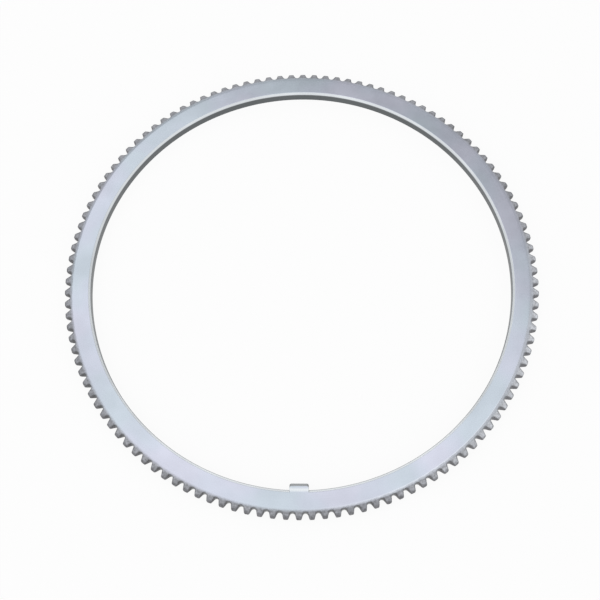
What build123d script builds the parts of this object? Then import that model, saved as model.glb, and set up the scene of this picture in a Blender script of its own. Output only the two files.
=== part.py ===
# Toothed tone ring of zinc-plated steel: a flat ring with a toothed, bevelled rim, a bevelled bore and one
# locating tab in the bore. It is one solid. Millimetres, with the origin at the bore's centre on the back
# face and +Z along the axis, out of the front face. The tab stands on the -Y side and points to the centre.
from math import cos, pi, radians, sin, tan
import os

from build123d import *

# Ring
tip_diameter = 201.4
ring_width = 11.4           # from the bore's wall to the teeth's tips
thickness = 5.8
bore_bevel = 1.0            # at 45 degrees, on both edges of the bore

# Rim: a bevel on each face runs out from the flat web, and the two leave a narrow land at the teeth's tips
rim_bevel_angle = 30.0      # to the face, in degrees
front_bevel_drop = 2.3      # from the front face to the land
back_bevel_drop = 1.9       # from the back face to the land

# Teeth
tooth_count = 120
tooth_depth = 2.85          # from the tip circle to the floor of the gaps
tip_width = 1.85
flank_angle = 17.0          # of a flank to the centre line of its gap, in degrees
floor_corner = 0.5          # bevel between each flank and the floor of a gap

# Locating tab, centred on a tooth
tab_width = 7.7
tab_reach = 3.0             # past the bore's wall
tab_land = 0.8              # height of the upright end, between the two lead-in slopes
tab_lead_angle = 30.0       # of a lead-in slope to the axis, in degrees
tab_edge_radius = 0.8       # along both sides of the nose

tip_radius = tip_diameter / 2
bore_radius = tip_radius - ring_width
front_web_end = tip_radius - front_bevel_drop / tan(radians(rim_bevel_angle))
back_web_end = tip_radius - back_bevel_drop / tan(radians(rim_bevel_angle))
gap_floor = tip_radius - tooth_depth
gap_mouth = tip_radius + 1.0    # the shape that cuts a gap runs past the tips


def gap_half_width(distance):
    """Half the width between a gap's two flanks, at this distance out along its centre line."""
    pitch_angle = 2 * pi / tooth_count
    tooth_angle = tip_width / tip_radius
    corner_angle = (pitch_angle - tooth_angle) / 2
    past_corner = distance - tip_radius * cos(corner_angle)
    return tip_radius * sin(corner_angle) + past_corner * tan(radians(flank_angle))


# The tab: a block from inside the web to past the bore's wall, with a lead-in slope on each face
nose = bore_radius - tab_reach
lead_depth = (thickness - tab_land) / 2
lead_start = nose + lead_depth * tan(radians(tab_lead_angle))
tab_root = bore_radius + 2 * bore_bevel

with BuildPart() as tab:
    with BuildSketch(Plane.YZ):
        with BuildLine():
            Polyline(
                (-tab_root, 0),
                (-tab_root, thickness),
                (-lead_start, thickness),
                (-nose, thickness - lead_depth),
                (-nose, lead_depth),
                (-lead_start, 0),
                close=True,
            )
        make_face()
    extrude(amount=tab_width / 2, both=True)
    nose_sides = tab.edges().filter_by(Axis.X, reverse=True).filter_by_position(
        Axis.Y, -lead_start, -nose
    )
    fillet(nose_sides, radius=tab_edge_radius)

# One tooth gap, on +X: two tapered flanks and a flat floor with bevelled corners
with BuildSketch() as gap:
    with BuildLine():
        Polyline(
            (gap_mouth, -gap_half_width(gap_mouth)),
            (gap_floor, -gap_half_width(gap_floor)),
            (gap_floor, gap_half_width(gap_floor)),
            (gap_mouth, gap_half_width(gap_mouth)),
            close=True,
        )
    make_face()
    chamfer(gap.vertices().group_by(Axis.X)[0], length=floor_corner)

# The ring: its section turned about the axis, with the tab, and the gaps cut so that a tooth is on the tab
with BuildPart() as tone_ring:
    with BuildSketch(Plane.XZ):
        with BuildLine():
            Polyline(
                (back_web_end, 0),
                (tip_radius, back_bevel_drop),
                (tip_radius, thickness - front_bevel_drop),
                (front_web_end, thickness),
                (bore_radius + bore_bevel, thickness),
                (bore_radius, thickness - bore_bevel),
                (bore_radius, bore_bevel),
                (bore_radius + bore_bevel, 0),
                close=True,
            )
        make_face()
    revolve(axis=Axis.Z)
    add(tab.part)

    half_pitch = 180 / tooth_count
    with BuildSketch():
        with PolarLocations(0, tooth_count, start_angle=-90 + half_pitch):
            add(gap.sketch)
    extrude(amount=thickness, mode=Mode.SUBTRACT)

tone_ring.part.label = "tone_ring"
os.makedirs("parts", exist_ok=True)
export_step(tone_ring.part, "parts/tone_ring.step")
print("the web ends at radius", round(front_web_end, 3), "in front and", round(back_web_end, 3), "at the back")
print("the bore's radius is", round(bore_radius, 3), "and the gaps' floors are at", round(gap_floor, 3))
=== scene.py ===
# %% [markdown]
# # A toothed tone ring in zinc-plated steel
#
# The real object is the ring that a wheel-speed sensor reads. It is turned from steel, its teeth are cut,
# and then it is zinc-plated whole, so it is one piece with one finish. This lesson rebuilds that ring round
# its imported CAD part: the camera first, then the mesh by rule in Geometry Nodes, then the plating, then the
# floor, the room and one soft box. Every length is in metres, in the CAD part's own frame.
#
# The first cell loads the CAD part as a fixed frame and keeps its box.

# %% Load the CAD part
from math import asin, atan2, cos, degrees, pi, radians, sin, tan

import bpy
from mathutils import Matrix, Vector


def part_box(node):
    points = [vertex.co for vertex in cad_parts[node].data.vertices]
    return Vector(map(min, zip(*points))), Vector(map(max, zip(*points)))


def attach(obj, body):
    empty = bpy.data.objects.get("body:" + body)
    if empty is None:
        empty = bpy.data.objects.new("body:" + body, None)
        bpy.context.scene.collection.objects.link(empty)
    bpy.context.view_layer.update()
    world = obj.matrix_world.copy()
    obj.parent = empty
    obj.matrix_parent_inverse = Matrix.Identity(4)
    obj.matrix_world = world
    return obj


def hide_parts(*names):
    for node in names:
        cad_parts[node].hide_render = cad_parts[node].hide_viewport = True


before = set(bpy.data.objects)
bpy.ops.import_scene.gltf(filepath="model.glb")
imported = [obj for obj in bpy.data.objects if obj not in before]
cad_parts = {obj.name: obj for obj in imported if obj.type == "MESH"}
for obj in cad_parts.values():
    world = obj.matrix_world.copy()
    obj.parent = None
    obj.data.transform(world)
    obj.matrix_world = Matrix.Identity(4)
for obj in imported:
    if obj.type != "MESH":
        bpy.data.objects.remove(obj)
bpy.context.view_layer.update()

MM = 0.001
cad_low, cad_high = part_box("tone_ring")
print("CAD ring", round((cad_high.x - cad_low.x) / MM, 2), "mm across")

# %% [markdown]
# ## The camera
#
# The photograph looks down on the ring from the side of its locating tab, with a long lens held a little
# askew. A tilted circle is drawn as an ellipse, so the ellipses of the ring's own circles give the camera's
# place and lens. A camera in Blender looks along its own -Z with +Y up. Its three axes are worked out here
# as vectors and set as one matrix, which is plainer than turning it by three angles.

# %% Place the camera
camera_place = Vector((9.69, -169.80, 453.11)) * MM
camera_target = Vector((-0.30, -9.18, 5.80)) * MM
camera_roll = radians(-3.244)

ahead = (camera_target - camera_place).normalized()
level_right = ahead.cross(Vector((0, 0, 1))).normalized()
level_up = level_right.cross(ahead)
camera_right = level_right * cos(camera_roll) + level_up * sin(camera_roll)
camera_up = camera_right.cross(ahead)

camera_data = bpy.data.cameras.new("photo_camera")
camera_data.sensor_width = 36.0
camera_data.lens = 67.74
camera = bpy.data.objects.new("photo_camera", camera_data)
camera_axes = Matrix((camera_right, camera_up, -ahead)).transposed()
camera.matrix_world = Matrix.Translation(camera_place) @ camera_axes.to_4x4()
bpy.context.scene.collection.objects.link(camera)
bpy.context.scene.camera = camera
print("camera looks down at", round(degrees(asin(-ahead.z)), 1), "degrees")

# %% [markdown]
# ## Node trees written as sums
#
# The shape and the finish both come from node trees, and both need a lot of arithmetic. Wiring Math nodes by
# hand hides the formula, so this small class wraps an output socket. Plus, minus, times and divide on it add
# the Math node that does the sum, and the reflected forms let a plain number stand on the left. Every other
# node comes from one method, node(), which sets the node's settings first and its sockets afterwards.

# %% Wrap sockets and trees
class Value:
    """An output socket, with arithmetic that adds Math nodes."""

    def __init__(self, net, socket):
        self.net = net
        self.socket = socket

    def also(self, name):
        """Another output of the same node."""
        return Value(self.net, self.socket.node.outputs[name])

    def __add__(self, other):
        return self.net.math("ADD", self, other)

    def __radd__(self, other):
        return self.net.math("ADD", other, self)

    def __sub__(self, other):
        return self.net.math("SUBTRACT", self, other)

    def __rsub__(self, other):
        return self.net.math("SUBTRACT", other, self)

    def __mul__(self, other):
        return self.net.math("MULTIPLY", self, other)

    def __rmul__(self, other):
        return self.net.math("MULTIPLY", other, self)

    def __truediv__(self, other):
        return self.net.math("DIVIDE", self, other)

    def __rtruediv__(self, other):
        return self.net.math("DIVIDE", other, self)

    def __mod__(self, other):
        return self.net.math("MODULO", self, other)

    def __neg__(self):
        return self.net.math("MULTIPLY", self, -1.0)

    def __abs__(self):
        return self.net.math("ABSOLUTE", self)

    def __lt__(self, other):
        return self.net.math("LESS_THAN", self, other)

    def __gt__(self, other):
        return self.net.math("GREATER_THAN", self, other)


class Net:
    """A node tree that is being built."""

    def __init__(self, tree):
        self.tree = tree

    def node(self, kind, settings=None, sockets=None, output=0):
        """Adds a node, with its settings first and then its sockets' values or links."""
        made = self.tree.nodes.new(kind)
        for name, value in (settings or {}).items():
            if name == "choices":
                while len(made.index_switch_items) < value:
                    made.index_switch_items.new()
            elif name == "stops":
                ramp = made.color_ramp
                while len(ramp.elements) < len(value):
                    ramp.elements.new(1.0)
                for stop, (place, colour) in zip(ramp.elements, value):
                    stop.position = place
                    stop.color = colour
            else:
                setattr(made, name, value)
        for key, value in (sockets or {}).items():
            if isinstance(value, Value):
                self.tree.links.new(value.socket, made.inputs[key])
            else:
                made.inputs[key].default_value = value
        return Value(self, made.outputs[output]) if made.outputs else None

    def math(self, operation, *values):
        """A Math node on one, two or three values."""
        return self.node("ShaderNodeMath", {"operation": operation}, dict(enumerate(values)))

    def clamp(self, value):
        """The value kept between 0 and 1."""
        return self.node("ShaderNodeMath", {"operation": "ADD", "use_clamp": True}, {0: value, 1: 0.0})

    def rise(self, value, low, high):
        """0 up to low, 1 from high on, and even in between."""
        return self.clamp((value - low) / (high - low))

    def fall(self, value, low, high):
        """1 up to low, 0 from high on, and even in between."""
        return self.clamp((high - value) / (high - low))

    def mix(self, share, first, second):
        """Two colours blended, with this much of the second one."""
        return self.node("ShaderNodeMix", {"data_type": "RGBA"}, {0: share, 6: first, 7: second}, 2)

    def vector(self, x, y, z):
        """Three values joined as a vector."""
        return self.node("ShaderNodeCombineXYZ", None, {"X": x, "Y": y, "Z": z})

    def parts(self, vector):
        """A vector's three components."""
        split = self.node("ShaderNodeSeparateXYZ", None, {"Vector": vector})
        return split, split.also("Y"), split.also("Z")


# %% [markdown]
# ## The ring's sizes
#
# These are the sizes of the CAD part, and three that only the dressed ring has. Where the solid has a crease
# between web and rim, the Web Break makes a soft start. Where its rim is a straight bevel, this one is
# crowned: it leaves the web at the Crown Slope and grows steeper towards the tips. The Tip Corner rounds the
# tips in plan. The sizes become named inputs of the Geometry Nodes tree, so the ring can be redrawn with
# others in the modifier's panel.

# %% Name the sizes
ring_sizes = {
    "Tooth Count": 120,
    "Tip Radius": 100.7 * MM,
    "Bore Radius": 89.3 * MM,
    "Thickness": 5.8 * MM,
    "Bore Bevel": 1.0 * MM,
    "Rim Slope": tan(radians(30.0)),
    "Crown Slope": tan(radians(6.0)),
    "Front Drop": 2.3 * MM,
    "Back Drop": 1.9 * MM,
    "Web Break": 0.3 * MM,
    "Tooth Depth": 2.85 * MM,
    "Tip Width": 1.85 * MM,
    "Flank Angle": radians(17.0),
    "Tip Corner": 0.5 * MM,
    "Tab Width": 7.7 * MM,
    "Tab Reach": 3.0 * MM,
    "Tab Land": 0.8 * MM,
    "Tab Lead": tan(radians(30.0)),
    "Tab Corner": 0.8 * MM,
}

ring_tree = bpy.data.node_groups.new("toothed_ring", "GeometryNodeTree")
ring_inputs = {}
for size_name, size_value in ring_sizes.items():
    kind = "NodeSocketInt" if isinstance(size_value, int) else "NodeSocketFloat"
    ring_inputs[size_name] = ring_tree.interface.new_socket(size_name, in_out="INPUT", socket_type=kind)
kind = "NodeSocketMaterial"
ring_inputs["Finish"] = ring_tree.interface.new_socket("Finish", in_out="INPUT", socket_type=kind)
ring_tree.interface.new_socket("Ring", in_out="OUTPUT", socket_type="NodeSocketGeometry")
print(len(ring_inputs), "named inputs")

# %% [markdown]
# ## One gap in plan
#
# A tooth and a gap repeat every three degrees, so one pitch is drawn once. It could be modelled by hand, or
# cut from a plain ring with a boolean, but a boolean leaves long thin faces that shade badly. Here the plan
# of one pitch is a curve of five points, from the middle of one tooth to the middle of the next: two tips,
# two tip corners, and the point where the gap's flanks would meet. Fillet Curve rounds that point so far
# that the arc is the floor of the gap, and it rounds the tips' corners a little.

# %% Draw the plan of one pitch
net = Net(ring_tree)
given = net.node("NodeGroupInput")
tooth_count = given.also("Tooth Count")
tip_radius = given.also("Tip Radius")
bore_radius = given.also("Bore Radius")
thickness = given.also("Thickness")
web_break = given.also("Web Break")
flank_angle = given.also("Flank Angle")

half_pitch = pi / tooth_count
corner_angle = half_pitch - given.also("Tip Width") / tip_radius / 2
half_mouth = net.math("SINE", corner_angle) * tip_radius
gap_apex = net.math("COSINE", corner_angle) * tip_radius - half_mouth / net.math("TANGENT", flank_angle)
gap_floor = tip_radius - given.also("Tooth Depth")
floor_round = (gap_floor - gap_apex) / (1 / net.math("SINE", flank_angle) - 1)


def on_circle(radius, angle, height=0.0):
    """A point at this radius and angle, as a vector."""
    return net.vector(radius * net.math("COSINE", angle), radius * net.math("SINE", angle), height)


def choose(kind, index, values):
    """The value at this index, from a list of numbers or sockets."""
    sockets = {place + 1: value for place, value in enumerate(values)}
    settings = {"data_type": kind, "choices": len(values)}
    return net.node("GeometryNodeIndexSwitch", settings, {0: index, **sockets})


def drawn(places):
    """A curve through these points."""
    sockets = {"Count": len(places), "Position": choose("VECTOR", index, places)}
    points = net.node("GeometryNodePoints", None, sockets)
    return net.node("GeometryNodePointsToCurves", None, {"Points": points})


def rounded(curve, steps, radius):
    """The curve with its corners rounded, each by its own radius and number of steps."""
    sockets = {"Curve": curve, "Count": steps, "Radius": radius}
    return net.node("GeometryNodeFilletCurve", {"mode": "POLY"}, sockets)


index = net.node("GeometryNodeInputIndex")
tip_corner = given.also("Tip Corner")
TIP_STEPS = 3
FLOOR_STEPS = 8
pitch_points = [
    on_circle(tip_radius, -half_pitch),
    on_circle(tip_radius, -corner_angle),
    net.vector(gap_apex, 0.0, 0.0),
    on_circle(tip_radius, corner_angle),
    on_circle(tip_radius, half_pitch),
]
pitch_plan = rounded(
    drawn(pitch_points),
    choose("INT", index, [1, TIP_STEPS, FLOOR_STEPS, TIP_STEPS, 1]),
    choose("FLOAT", index, [0.0, tip_corner, floor_round, tip_corner, 0.0]),
)
print("a tooth and a gap take", 360 / ring_sizes["Tooth Count"], "degrees")

# %% [markdown]
# ## One pitch as a sheet
#
# The pitch is a flat grid bent into shape. Its columns follow the plan from tooth to tooth, and its rows go
# once round the ring's section: from the middle of the bore's wall over the bevel, the flat web, the rim's
# bevel and the tooth's end, and back along the underside. The front and the back of the section have the
# same rows and differ only in how far the rim drops, so a row needs its side and its station, which is its
# distance from the first row or the last. The radius of the outer rows comes from the plan curve at that
# column, and their height from the slope of the rim. At the floor of a gap little of the rim is left, so the
# rim's rows are held back from the edge there, each by a little more than the one outside it.

# %% Bend a grid into one pitch
STATIONS = 15
LAST = STATIONS - 1
ROWS = 2 * STATIONS - 1

row = index % ROWS
column = net.math("FLOOR", (index + 0.5) / ROWS)
station = LAST - abs(row - LAST)
side = net.math("SIGN", LAST - row)


def sampled(curve, place):
    """The position of one point of a curve, as three values."""
    position = net.node("GeometryNodeInputPosition")
    settings = {"data_type": "FLOAT_VECTOR", "domain": "POINT"}
    sockets = {"Geometry": curve, "Value": position, "Index": place}
    return net.parts(net.node("GeometryNodeSampleIndex", settings, sockets))


def point_count(curve):
    """How many points a curve has."""
    return net.node("GeometryNodeAttributeDomainSize", {"component": "CURVE"}, {"Geometry": curve})


rim_slope = given.also("Rim Slope")
full_drop = choose("FLOAT", side > 0, [given.also("Back Drop"), given.also("Front Drop")])
web_end = tip_radius - full_drop / rim_slope


def rim_drop(radius):
    """How far the rim's crowned bevel has fallen at this radius, with a soft start."""
    crown_slope = given.also("Crown Slope")
    start = net.clamp((radius - web_end + web_break) / (2 * web_break))
    run = start * start * web_break + net.math("MAXIMUM", radius - web_end - web_break, 0.0)
    return run * (crown_slope + (rim_slope - crown_slope) * run / (tip_radius - web_end))


columns = point_count(pitch_plan)
plan_x, plan_y = sampled(pitch_plan, column)[:2]
plan_radius = net.math("SQRT", plan_x * plan_x + plan_y * plan_y)
plan_angle = net.math("ARCTAN2", plan_y, plan_x)
even_angle = half_pitch * (2 * column / (columns - 1) - 1)

bore_bevel = given.also("Bore Bevel")
half_height = thickness / 2
bevel_radius = bore_radius + bore_bevel
rim_start = web_end + web_break
inner_radii = [bore_radius, bore_radius, bore_radius, bevel_radius, bevel_radius + bore_bevel]
rim_radii = [
    web_end - 3 * web_break,
    web_end - web_break,
    web_end - 0.5 * web_break,
    web_end,
    web_end + 0.5 * web_break,
    rim_start,
    (2 * rim_start + plan_radius) / 3,
    (rim_start + 2 * plan_radius) / 3,
]
EDGE_ROOM = 0.3 * MM
LEAST_STEP = 0.02 * MM
for rim_row, rim_radius in enumerate(rim_radii):
    rows_outside = len(rim_radii) - 1 - rim_row
    farthest_out = plan_radius - (EDGE_ROOM + LEAST_STEP * rows_outside)
    rim_radii[rim_row] = net.math("MINIMUM", rim_radius, farthest_out)
radii = inner_radii + rim_radii + [plan_radius, plan_radius]
station_radius = choose("FLOAT", station, radii)
bore_heights = [0.0, given.also("Tab Land") / 2, half_height - bore_bevel]
web_height = half_height - rim_drop(station_radius)
heights = bore_heights + [web_height] * (LAST - len(bore_heights)) + [0.0]
station_height = choose("FLOAT", station, heights)
LAST_INNER = len(inner_radii) - 1
outer_share = net.rise(station, LAST_INNER, LAST_INNER + 2)
station_angle = even_angle + (plan_angle - even_angle) * outer_share

grid = net.node("GeometryNodeMeshGrid", None, {"Vertices X": columns, "Vertices Y": ROWS})
bent = on_circle(station_radius, station_angle, half_height + station_height * side)
pitch_sheet = net.node("GeometryNodeSetPosition", None, {"Geometry": grid, "Position": bent})
print(ROWS, "rows go round the section")

# %% [markdown]
# ## One hundred and twenty pitches
#
# What repeats is instanced: the sheet is placed once for each tooth and turned by one pitch more each time.
# The tab stands on the -Y side in the middle of a tooth, so the first gap is half a pitch from there. The
# instances are then made real, because the tab changes some of them and because an exporter drops instances.

# %% Turn the pitch round the axis
turn = index * (2 * half_pitch) + half_pitch - pi / 2
seeds = net.node("GeometryNodePoints", None, {"Count": tooth_count})
rotation = net.node("FunctionNodeEulerToRotation", None, {"Euler": net.vector(0.0, 0.0, turn)})
placing = {"Points": seeds, "Instance": pitch_sheet, "Rotation": rotation}
turned = net.node("GeometryNodeInstanceOnPoints", None, placing)
full_ring = net.node("GeometryNodeRealizeInstances", None, {"Geometry": turned})

# %% [markdown]
# ## The locating tab
#
# The tab is part of the same forging, so it is drawn out of the bore's own wall and not stuck on. Its plan is
# a second curve, from the bore round the tab and back. The thirty-one columns nearest to -Y take their inner
# rows from it. A weight is 0 where the tab leaves the bore and 1 on its nose: at 0 the rows keep the bore's
# bevelled section, and at 1 they take the tab's own, with a lead-in slope on each face.

# %% Draw the plan of the tab
tab_half = given.also("Tab Width") / 2
tab_corner = given.also("Tab Corner")
tab_nose = bore_radius - given.also("Tab Reach")


def seat_depth(radius):
    """How far towards -Y the tab's side meets a circle of this radius."""
    return net.math("SQRT", radius * radius - tab_half * tab_half)


wall_depth = seat_depth(bore_radius)
tab_points = [
    net.vector(-tab_half, -wall_depth, 0.0),
    net.vector(-tab_half, -tab_nose, 0.0),
    net.vector(tab_half, -tab_nose, 0.0),
    net.vector(tab_half, -wall_depth, 0.0),
]
CORNER_STEPS = 6
SIDE_CUTS = 2
NOSE_CUTS = 11
NOSE_START = CORNER_STEPS + 1

tab_line = rounded(
    drawn(tab_points),
    choose("INT", index, [0, CORNER_STEPS, CORNER_STEPS, 0]),
    tab_corner,
)
from_nose = abs(index - NOSE_START)
tab_cuts = SIDE_CUTS * (from_nose > NOSE_START - 0.5) + NOSE_CUTS * (from_nose < 0.5)
tab_plan = net.node("GeometryNodeSubdivideCurve", None, {"Curve": tab_line, "Cuts": tab_cuts})
nose_at = ring_sizes["Bore Radius"] - ring_sizes["Tab Reach"]
print("the tab's nose is at radius", round(nose_at / MM, 1), "mm")

# %% [markdown]
# ## The wall drawn out
#
# The bore's wall has even columns, so a point's bearing from -Y says which column it is in, and that column
# says which point of the tab's plan it moves to. The lead-in slopes come from height: the further a row is
# from the upright end, the further it stands back.

# %% Pull the bore's wall out into the tab
spot_x, spot_y = net.parts(net.node("GeometryNodeInputPosition"))[:2]
step_angle = 2 * half_pitch / (columns - 1)
step_number = net.math("ROUND", net.math("ARCTAN2", spot_x, -spot_y) / step_angle)
reach_steps = (point_count(tab_plan) - 1) / 2

tab_x, tab_y = sampled(tab_plan, step_number + reach_steps)[:2]
arc_start = tab_nose + tab_corner
weight = net.clamp((wall_depth + tab_y) / (wall_depth - arc_start))
tab_land = given.also("Tab Land")
tab_heights = [0.0, tab_land / 2, (tab_land / 2 + half_height) / 2, half_height]
tab_height = choose("FLOAT", station, tab_heights)
on_tab = (abs(step_number) < reach_steps + 0.5) * (station < len(tab_heights) - 0.5)
lead_back = net.math("MAXIMUM", tab_height - tab_land / 2, 0.0) * given.also("Tab Lead")
seat_shift = seat_depth(station_radius) - wall_depth
new_y = tab_y - (1 - weight) * seat_shift - weight * lead_back
new_height = (1 - weight) * station_height + weight * tab_height
tab_place = net.vector(tab_x, new_y, half_height + new_height * side)
moving = {"Geometry": full_ring, "Selection": on_tab, "Position": tab_place}
tabbed_ring = net.node("GeometryNodeSetPosition", None, moving)
print(len(tab_heights), "rows on each side of the section follow the tab")

# %% [markdown]
# ## Closing the ring
#
# Neighbouring sheets meet point on point, so Merge by Distance closes every seam between them and the one
# along the bore. The grid's faces point inwards once it is bent round the section, so they are turned over.

# %% Close the seams and finish the tree
SEAM = 0.002 * MM
closing = {"Geometry": tabbed_ring, "Distance": SEAM}
closed_ring = net.node("GeometryNodeMergeByDistance", None, closing)
outward_ring = net.node("GeometryNodeFlipFaces", None, {"Mesh": closed_ring})
smoothing = {"Geometry": outward_ring, "Shade Smooth": True}
smooth_ring = net.node("GeometryNodeSetShadeSmooth", None, smoothing)
real_ring = net.node("GeometryNodeRealizeInstances", None, {"Geometry": smooth_ring})
finishing = {"Geometry": real_ring, "Material": given.also("Finish")}
finished_ring = net.node("GeometryNodeSetMaterial", None, finishing)
net.node("NodeGroupOutput", None, {"Ring": finished_ring})
print(len(ring_tree.nodes), "nodes in the ring's tree")

# %% [markdown]
# ## The finish
#
# Zinc plate on machined steel is a satin metal with a thin, cool film on it. Not every face takes it alike.
# The ground web is pale and blue and the cut rim is a plain grey. The bevels of the bore and the tab have a
# painted highlight, and upright faces such as the bore's wall and the teeth's flanks have painted shade,
# darkest deep in the gaps. The lip between the bore's wall and its bevel has painted shade too. A mask
# painted on an image would do it, but each region is known from the surface's own radius and slope, so the
# masks are sums. They stay with the ring from every side and are sharp at any distance.

# %% Find the regions of the ring
zinc_plated_steel = bpy.data.materials.new("zinc_plated_steel")
zinc_plated_steel.use_nodes = True
zinc_plated_steel.node_tree.nodes.clear()
net = Net(zinc_plated_steel.node_tree)

place = net.node("ShaderNodeTexCoord").also("Object")
place_x, place_y, place_z = net.parts(place)
slope_z = net.parts(place.also("Normal"))[2]
radius = net.math("SQRT", place_x * place_x + place_y * place_y)

tip_end = ring_sizes["Tip Radius"]
bore_wall = ring_sizes["Bore Radius"]
bore_edge = bore_wall + ring_sizes["Bore Bevel"]
front_end = tip_end - ring_sizes["Front Drop"] / ring_sizes["Rim Slope"]
back_end = tip_end - ring_sizes["Back Drop"] / ring_sizes["Rim Slope"]
in_front = place_z > ring_sizes["Thickness"] / 2
rim_begin = back_end + (front_end - back_end) * in_front

level = net.rise(abs(slope_z), 0.85, 0.95)
upright = net.fall(abs(slope_z), 0.42, 0.72)
on_rim = net.rise(radius - rim_begin, 0.2 * MM, 1.6 * MM)
on_bevel = net.fall(radius - bore_edge, -0.1 * MM, 0.1 * MM)
# Painted shade on the lip between the bore's wall and its bevel.
off_lip = abs(radius - bore_wall)
bore_lip = net.fall(off_lip, 0.1 * MM, 0.3 * MM) * (1 - level)
print("the web runs from", round(bore_edge / MM, 2), "to", round(front_end / MM, 2), "mm")

# %% [markdown]
# ## The painted highlight on the tab
# The shine on the tab
#
# The tab's top lies level with the web, and like the bevels it has a painted highlight. The tab's top lies
# level with the web, but hands and the fitting tool have burnished it as they have the bevels. It shines
# from the bore's edge inwards and fades towards the nose.

# %% Find the painted highlight on the tab's top
tab_shade = bore_wall - ring_sizes["Tab Reach"] + 1.7 * MM
tab_fade = 1.2 * MM
tab_painted_highlight = net.fall(radius, bore_edge - 0.9 * MM, bore_edge)
tab_painted_highlight = tab_painted_highlight * net.rise(radius, tab_shade, tab_shade + tab_fade)
on_inner = on_bevel + (tab_painted_highlight - on_bevel) * level
print("the tab fades from radius", round((tab_shade + tab_fade) / MM, 1), "mm inwards")

# %% [markdown]
# ## The painted shade at the teeth's edges
#
# Painted shade darkens a band round every tooth, along the walls of its gaps and at its tip.
# A dark line that follows an edge needs the distance to that edge. Here it is a sum, because the plan of a
# gap is known: two straight flanks and an arc. One remainder of the bearing folds all gaps onto one, and then
# the distance is measured along and across that gap's centre line, to the arc near its floor and to the flank
# further out.

# %% Measure the distance to the gap's wall
PITCH = 2 * pi / ring_sizes["Tooth Count"]
FLANK = ring_sizes["Flank Angle"]
mouth_angle = PITCH / 2 - ring_sizes["Tip Width"] / tip_end / 2
mouth_half = tip_end * sin(mouth_angle)
apex = tip_end * cos(mouth_angle) - mouth_half / tan(FLANK)
floor_radius = tip_end - ring_sizes["Tooth Depth"]
arc_radius = (floor_radius - apex) / (1 / sin(FLANK) - 1)
arc_centre = floor_radius + arc_radius

bearing = net.math("ARCTAN2", place_y, place_x) + 2 * pi
off_centre = bearing % PITCH - PITCH / 2
along = radius * net.math("COSINE", off_centre)
across = abs(radius * net.math("SINE", off_centre))
from_centre = along - arc_centre
to_arc = net.math("SQRT", from_centre * from_centre + across * across) - arc_radius
to_flank = (across - (along - apex) * tan(FLANK)) * cos(FLANK)
beside_flank = along > arc_centre - arc_radius * sin(FLANK)
to_wall = to_arc + (to_flank - to_arc) * beside_flank
print("the floor of a gap is an arc of", round(arc_radius / MM, 2), "mm")

# %% [markdown]
# ## Painted light and shade by side
#
# Towards +X the rim and the teeth's flanks are painted lighter, and the dark band at the tips is narrower:
# painted light from that side. Towards +X and a little towards the tab, the crease between the web and the
# rim has a painted highlight. On the tab's side the tips have painted shade. Each of these is a side of the
# ring, so it is found from the direction of a point from the axis, and it stays there when the ring is
# turned.

# %% Find the painted lit and shaded sides and the edges
PAINTED_LIGHT_WAY = (0.93, -0.37)
CREASE_LIGHT_WAY = (0.80, -0.60)
PAINTED_SHADE_WAY = (0.0, -1.0)


def towards(way):
    """1 for points that lie this way from the axis, 0 for those square to it, -1 for those opposite."""
    return (place_x * way[0] + place_y * way[1]) / radius


# Painted light: towards +X the rim and the flanks are lighter, and the tips' dark band is narrower.
painted_light_side = net.rise(towards(PAINTED_LIGHT_WAY), 0.7, 0.98)
crease_light_side = net.rise(towards(CREASE_LIGHT_WAY), 0.6, 0.9)
painted_shade_side = net.clamp(towards(PAINTED_SHADE_WAY) - 0.3)

# A painted highlight along the crease between web and rim, towards +X and a little towards the tab. It lifts
# the darker shading of the bend there.
crease_radius = rim_begin + (0.6 - 0.2 * painted_light_side) * MM
on_crease = net.fall(abs(radius - crease_radius), 0.2 * MM, 0.7 * MM) * crease_light_side

# Painted shade widens the tips' dark band on the tab's side, and painted light narrows it towards +X.
to_tip = (tip_end - radius) / 2 + 0.3 * MM * painted_light_side - 0.35 * MM * painted_shade_side
to_edge = net.math("MINIMUM", to_wall, to_tip)
# A band of painted shade along the gaps' walls and the tips.
at_edge = net.fall(to_edge, 0.05 * MM, 0.55 * MM)
up_flank = net.rise(radius, floor_radius, tip_end)
print("the bright side is at", round(degrees(atan2(PAINTED_LIGHT_WAY[1], PAINTED_LIGHT_WAY[0]))), "degrees from +X")

# %% [markdown]
# ## Clouds, grain and turning marks
#
# The film on the web drifts slowly between lavender and a faint green, in clouds a few centimetres long. Both
# cloud noises are slid until their clouds lie about where they are on the real ring. Under the film lies the
# fine grain of the plating bath, and under that the marks of the lathe, which run round the axis. For those
# the noise reads the radius at full size and the direction from the centre shrunk to a small circle, so the
# marks are long and close on themselves with no seam. The rim has small scuffs of its own.

# %% Make the patterns
def noise(vector, size, detail=2.0):
    """A noise from 0 to 1 whose features are about this many metres long."""
    sockets = {"Vector": vector, "Scale": 1.0 / size, "Detail": detail, "Roughness": 0.5}
    return net.node("ShaderNodeTexNoise", {"noise_dimensions": "3D"}, sockets)


def slid(vector, way):
    """The vector moved by this much along each axis."""
    return net.node("ShaderNodeVectorMath", {"operation": "ADD"}, {0: vector, 1: way})


def swing(pattern, amount):
    """The pattern's ups and downs about its middle, times an amount."""
    return amount * (pattern - 0.5)


CLOUD_SLIDE = (-0.24, 0.48, 0.12)
BLOOM_SLIDE = (0.28, 0.24, 0.0)
SMALL_CIRCLE = 3.0 * MM
TURNING_SIZE = 0.35 * MM

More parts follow.
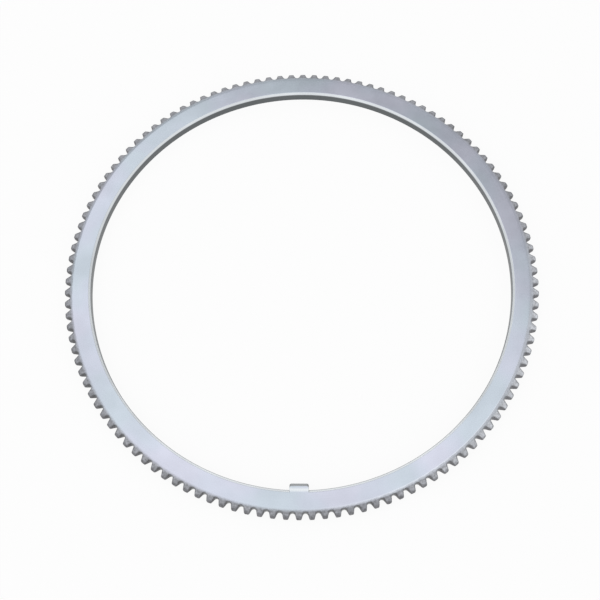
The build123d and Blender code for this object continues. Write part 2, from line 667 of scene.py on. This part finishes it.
clouds = noise(slid(place, CLOUD_SLIDE), 26.0 * MM)
bloom = noise(slid(net.vector(place_y, place_x, place_z), BLOOM_SLIDE), 18.0 * MM, 3.0)
mottle = noise(place, 3.5 * MM, 4.0)
grain = noise(place, 0.6 * MM, 3.0)
around = net.vector(radius, place_x / radius * SMALL_CIRCLE, place_y / radius * SMALL_CIRCLE)
turning = noise(around, TURNING_SIZE)
scuffs = noise(place, 0.9 * MM, 1.0)
print("turning marks", round(TURNING_SIZE / MM, 2), "mm apart")

# %% [markdown]
# ## The colours of the plating
#
# A metal's base colour is how much of each colour it mirrors, so all of these are light and dark greys with a
# little blue. Each mask from above lays one over another, first among the faces that lie level, then among
# the upright ones, and the patterns make the result a little lighter and darker.

# %% Colour the plating
film_stops = [
    (0.38, (0.634, 0.652, 0.758, 1.0)),
    (0.50, (0.608, 0.650, 0.750, 1.0)),
    (0.62, (0.584, 0.652, 0.728, 1.0)),
]
film = net.node("ShaderNodeValToRGB", {"stops": film_stops}, {0: clouds})
# A painted highlight for the crease between web and rim.
painted_crease_highlight = (0.82, 0.86, 0.94, 1.0)
# The bevels' lighter colour is a painted highlight.
painted_bevel_highlight = (0.84, 0.88, 0.91, 1.0)
cut_grey = (0.40, 0.41, 0.44, 1.0)
# The cut grey and the flanks' grey on the +X side are painted light.
cut_grey_painted_light = (0.68, 0.70, 0.74, 1.0)
# Painted shade for the teeth's edges and the bore's lip.
painted_edge_shade = (0.18, 0.18, 0.19, 1.0)
# Upright faces carry painted shade: dark on the bore's wall, darkest deep in the gaps and a little lighter
# towards the tips.
painted_wall_shade = (0.11, 0.12, 0.125, 1.0)
painted_deep_flank_shade = (0.14, 0.14, 0.148, 1.0)
flank_painted_light = (0.24, 0.24, 0.26, 1.0)
painted_tip_land_shade = (0.18, 0.18, 0.19, 1.0)

EDGE_SHARE = 0.8
CREASE_SHARE = 0.9

rim_colour = net.mix(EDGE_SHARE * at_edge, net.mix(painted_light_side, cut_grey, cut_grey_painted_light), painted_edge_shade)
inner_colour = net.mix(EDGE_SHARE * bore_lip, painted_bevel_highlight, painted_edge_shade)
outer_colour = net.mix(CREASE_SHARE * on_crease, net.mix(on_rim, film, rim_colour), painted_crease_highlight)
level_colour = net.mix(on_inner, outer_colour, inner_colour)
flank_colour = net.mix(up_flank, net.mix(painted_light_side, painted_deep_flank_shade, flank_painted_light), painted_tip_land_shade)
wall_colour = net.mix(on_rim, painted_wall_shade, flank_colour)
colour = net.mix(upright, level_colour, wall_colour)

shade = 0.97 + swing(bloom, 0.35) + swing(mottle, 0.06) + swing(grain, 0.03) + swing(turning, 0.04)
shade = shade + on_rim * swing(scuffs, 1.1)
shaded = net.node("ShaderNodeVectorMath", {"operation": "SCALE"}, {0: colour, "Scale": shade})
print("the film runs through", len(film_stops), "tints")

# %% [markdown]
# ## Roughness and relief
#
# The ground web is the smoothest part, and the cut rim is much the roughest. A bump only as deep as the
# plating's own grain keeps the reflections from being perfect. More of it would make the web look speckled.

# %% Roughen the surface and wire the shader
WEB_ROUGHNESS = 0.19
RIM_ADDS = 0.31
UPRIGHT_ADDS = 0.10
INNER_ADDS = 0.06

roughness = WEB_ROUGHNESS + RIM_ADDS * on_rim + UPRIGHT_ADDS * upright + INNER_ADDS * on_inner
roughness = roughness + swing(grain, 0.03) + swing(mottle, 0.08)
relief = swing(grain, 1.0) + swing(turning, 0.5) + swing(mottle, 1.0)
bumped = net.node("ShaderNodeBump", None, {"Strength": 0.1, "Distance": 0.02 * MM, "Height": relief})
finish = {"Base Color": shaded, "Metallic": 1.0, "Roughness": roughness, "Normal": bumped}
plated = net.node("ShaderNodeBsdfPrincipled", None, finish)
net.node("ShaderNodeOutputMaterial", None, {"Surface": plated})
print(len(zinc_plated_steel.node_tree.nodes), "nodes in the plated steel")

# %% [markdown]
# ## From rule to mesh
#
# The tree is run by a modifier on an empty mesh. Its inputs are set by the sockets' identifiers before the
# object is first evaluated. A Bevel modifier then breaks every edge sharper than twenty-five degrees, as
# plating and deburring do on the real ring, and hardens the normals so that the flat faces stay flat. The
# result becomes a plain mesh, and the object with the modifiers is deleted.

# %% Make the ring
EDGE_BREAK = 0.25 * MM
SHARP = radians(25.0)

ring_source = bpy.data.objects.new("ring_source", bpy.data.meshes.new("ring_source"))
bpy.context.scene.collection.objects.link(ring_source)
drawing = ring_source.modifiers.new("toothed_ring", "NODES")
drawing.node_group = ring_tree
for size_name, size_value in ring_sizes.items():
    drawing[ring_inputs[size_name].identifier] = size_value
drawing[ring_inputs["Finish"].identifier] = zinc_plated_steel

breaking = ring_source.modifiers.new("edge_break", "BEVEL")
breaking.width = EDGE_BREAK
breaking.segments = 2
breaking.limit_method = "ANGLE"
breaking.angle_limit = SHARP
breaking.harden_normals = True

depsgraph = bpy.context.evaluated_depsgraph_get()
ring_mesh = bpy.data.meshes.new_from_object(
    ring_source.evaluated_get(depsgraph), preserve_all_data_layers=True, depsgraph=depsgraph
)
bpy.data.objects.remove(ring_source)
plated_ring = bpy.data.objects.new("plated_ring", ring_mesh)
bpy.context.scene.collection.objects.link(plated_ring)
ring_mesh.calc_loop_triangles()
print(len(ring_mesh.vertices), "vertices and", len(ring_mesh.loop_triangles), "triangles")

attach(plated_ring, "root")
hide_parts("tone_ring")

# %% [markdown]
# ## The floor and the light
#
# The photograph has a plain white ground and soft light. A floor bright enough to look white would also throw
# light up at the ring, so the floor is ordinary white paper that looks whiter than it is: Light Path's rays
# from the camera, and those seen in gloss or through glass, meet mostly a plain white, and the rest is the
# lit paper with the ring's soft shadow.

# %% Lay the floor
FLOOR_REACH = 5.0
FLOOR_GAP = 0.1 * MM
PAPER_WHITE = 0.95
GLOW_SHARE = 0.92

floor_mesh = bpy.data.meshes.new("floor")
floor_corners = [(-1, -1), (1, -1), (1, 1), (-1, 1)]
floor_points = [(x * FLOOR_REACH, y * FLOOR_REACH, -FLOOR_GAP) for x, y in floor_corners]
floor_mesh.from_pydata(floor_points, [], [(0, 1, 2, 3)])
floor = bpy.data.objects.new("floor", floor_mesh)
bpy.context.scene.collection.objects.link(floor)

white_floor = bpy.data.materials.new("white_floor")
white_floor.use_nodes = True
white_floor.node_tree.nodes.clear()
net = Net(white_floor.node_tree)
paper = net.node("ShaderNodeBsdfDiffuse", None, {"Color": (PAPER_WHITE, PAPER_WHITE, PAPER_WHITE, 1.0)})
glow = net.node("ShaderNodeEmission", None, {"Color": (1.0, 1.0, 1.0, 1.0), "Strength": 1.0})
camera_ray = net.node("ShaderNodeLightPath").also("Is Camera Ray")
seen = net.clamp(camera_ray + camera_ray.also("Is Glossy Ray") + camera_ray.also("Is Transmission Ray"))
ground = net.node("ShaderNodeMixShader", None, {0: seen * GLOW_SHARE, 1: paper, 2: glow})
net.node("ShaderNodeOutputMaterial", None, {"Surface": ground})
floor_mesh.materials.append(white_floor)
print("the floor is", round(2 * FLOOR_REACH), "metres square")

# %% [markdown]
# ## The room
#
# Metal shows the room that it stands in, so the room is part of its look. Here it is an even, pale grey that
# grows lighter towards the horizon, as a white tent does, and more so on the tab's side of the ring. It could
# be a picture of a real studio, but a sum of the direction is enough for a plain room.

# %% Light the room
ROOM_LEVEL = 0.57
HORIZON_ADDS = 0.45

world = bpy.data.worlds.new("studio")
world.use_nodes = True
world.node_tree.nodes.clear()
bpy.context.scene.world = world
net = Net(world.node_tree)
sky_x, sky_y, sky_z = net.parts(net.node("ShaderNodeTexCoord"))
near_horizon = net.fall(sky_z, 0.51, 0.68)
front_share = net.clamp(0.6 - 0.35 * sky_y - 0.03 * sky_x)
room_level = ROOM_LEVEL + HORIZON_ADDS * near_horizon * front_share
room = net.node("ShaderNodeBackground", None, {"Color": (1.0, 1.0, 1.0, 1.0), "Strength": room_level})
net.node("ShaderNodeOutputWorld", None, {"Surface": room})
print("the room is", ROOM_LEVEL, "overhead and up to", ROOM_LEVEL + HORIZON_ADDS, "at the horizon")

# %% [markdown]
# ## The soft box
#
# One round soft box hangs over the ring, a little to the left. It is what the flat web mirrors, and its edge
# is why the web darkens towards the far right. It is an area light, whose power is worked out from how bright
# its face has to look: a lamp's watts spread over its area and over the half sphere that it lights.

# %% Hang the soft box
BOX_WAY = Vector((-0.23, -0.03, 0.97)).normalized()
BOX_DISTANCE = 1.0
BOX_RADIUS = 0.70
BOX_BRIGHTNESS = 0.50

box_data = bpy.data.lights.new("over_box", "AREA")
box_data.shape = "DISK"
box_data.size = 2 * BOX_RADIUS
box_data.energy = BOX_BRIGHTNESS * pi * (pi * BOX_RADIUS * BOX_RADIUS)
over_box = bpy.data.objects.new("over_box", box_data)
facing_down = BOX_WAY.to_track_quat("Z", "Y").to_matrix().to_4x4()
over_box.matrix_world = Matrix.Translation(BOX_WAY * BOX_DISTANCE) @ facing_down
over_box.visible_camera = False
bpy.context.scene.collection.objects.link(over_box)
print("a soft box of", round(box_data.energy, 2), "watts")

bpy.context.scene.view_settings.view_transform = "Standard"
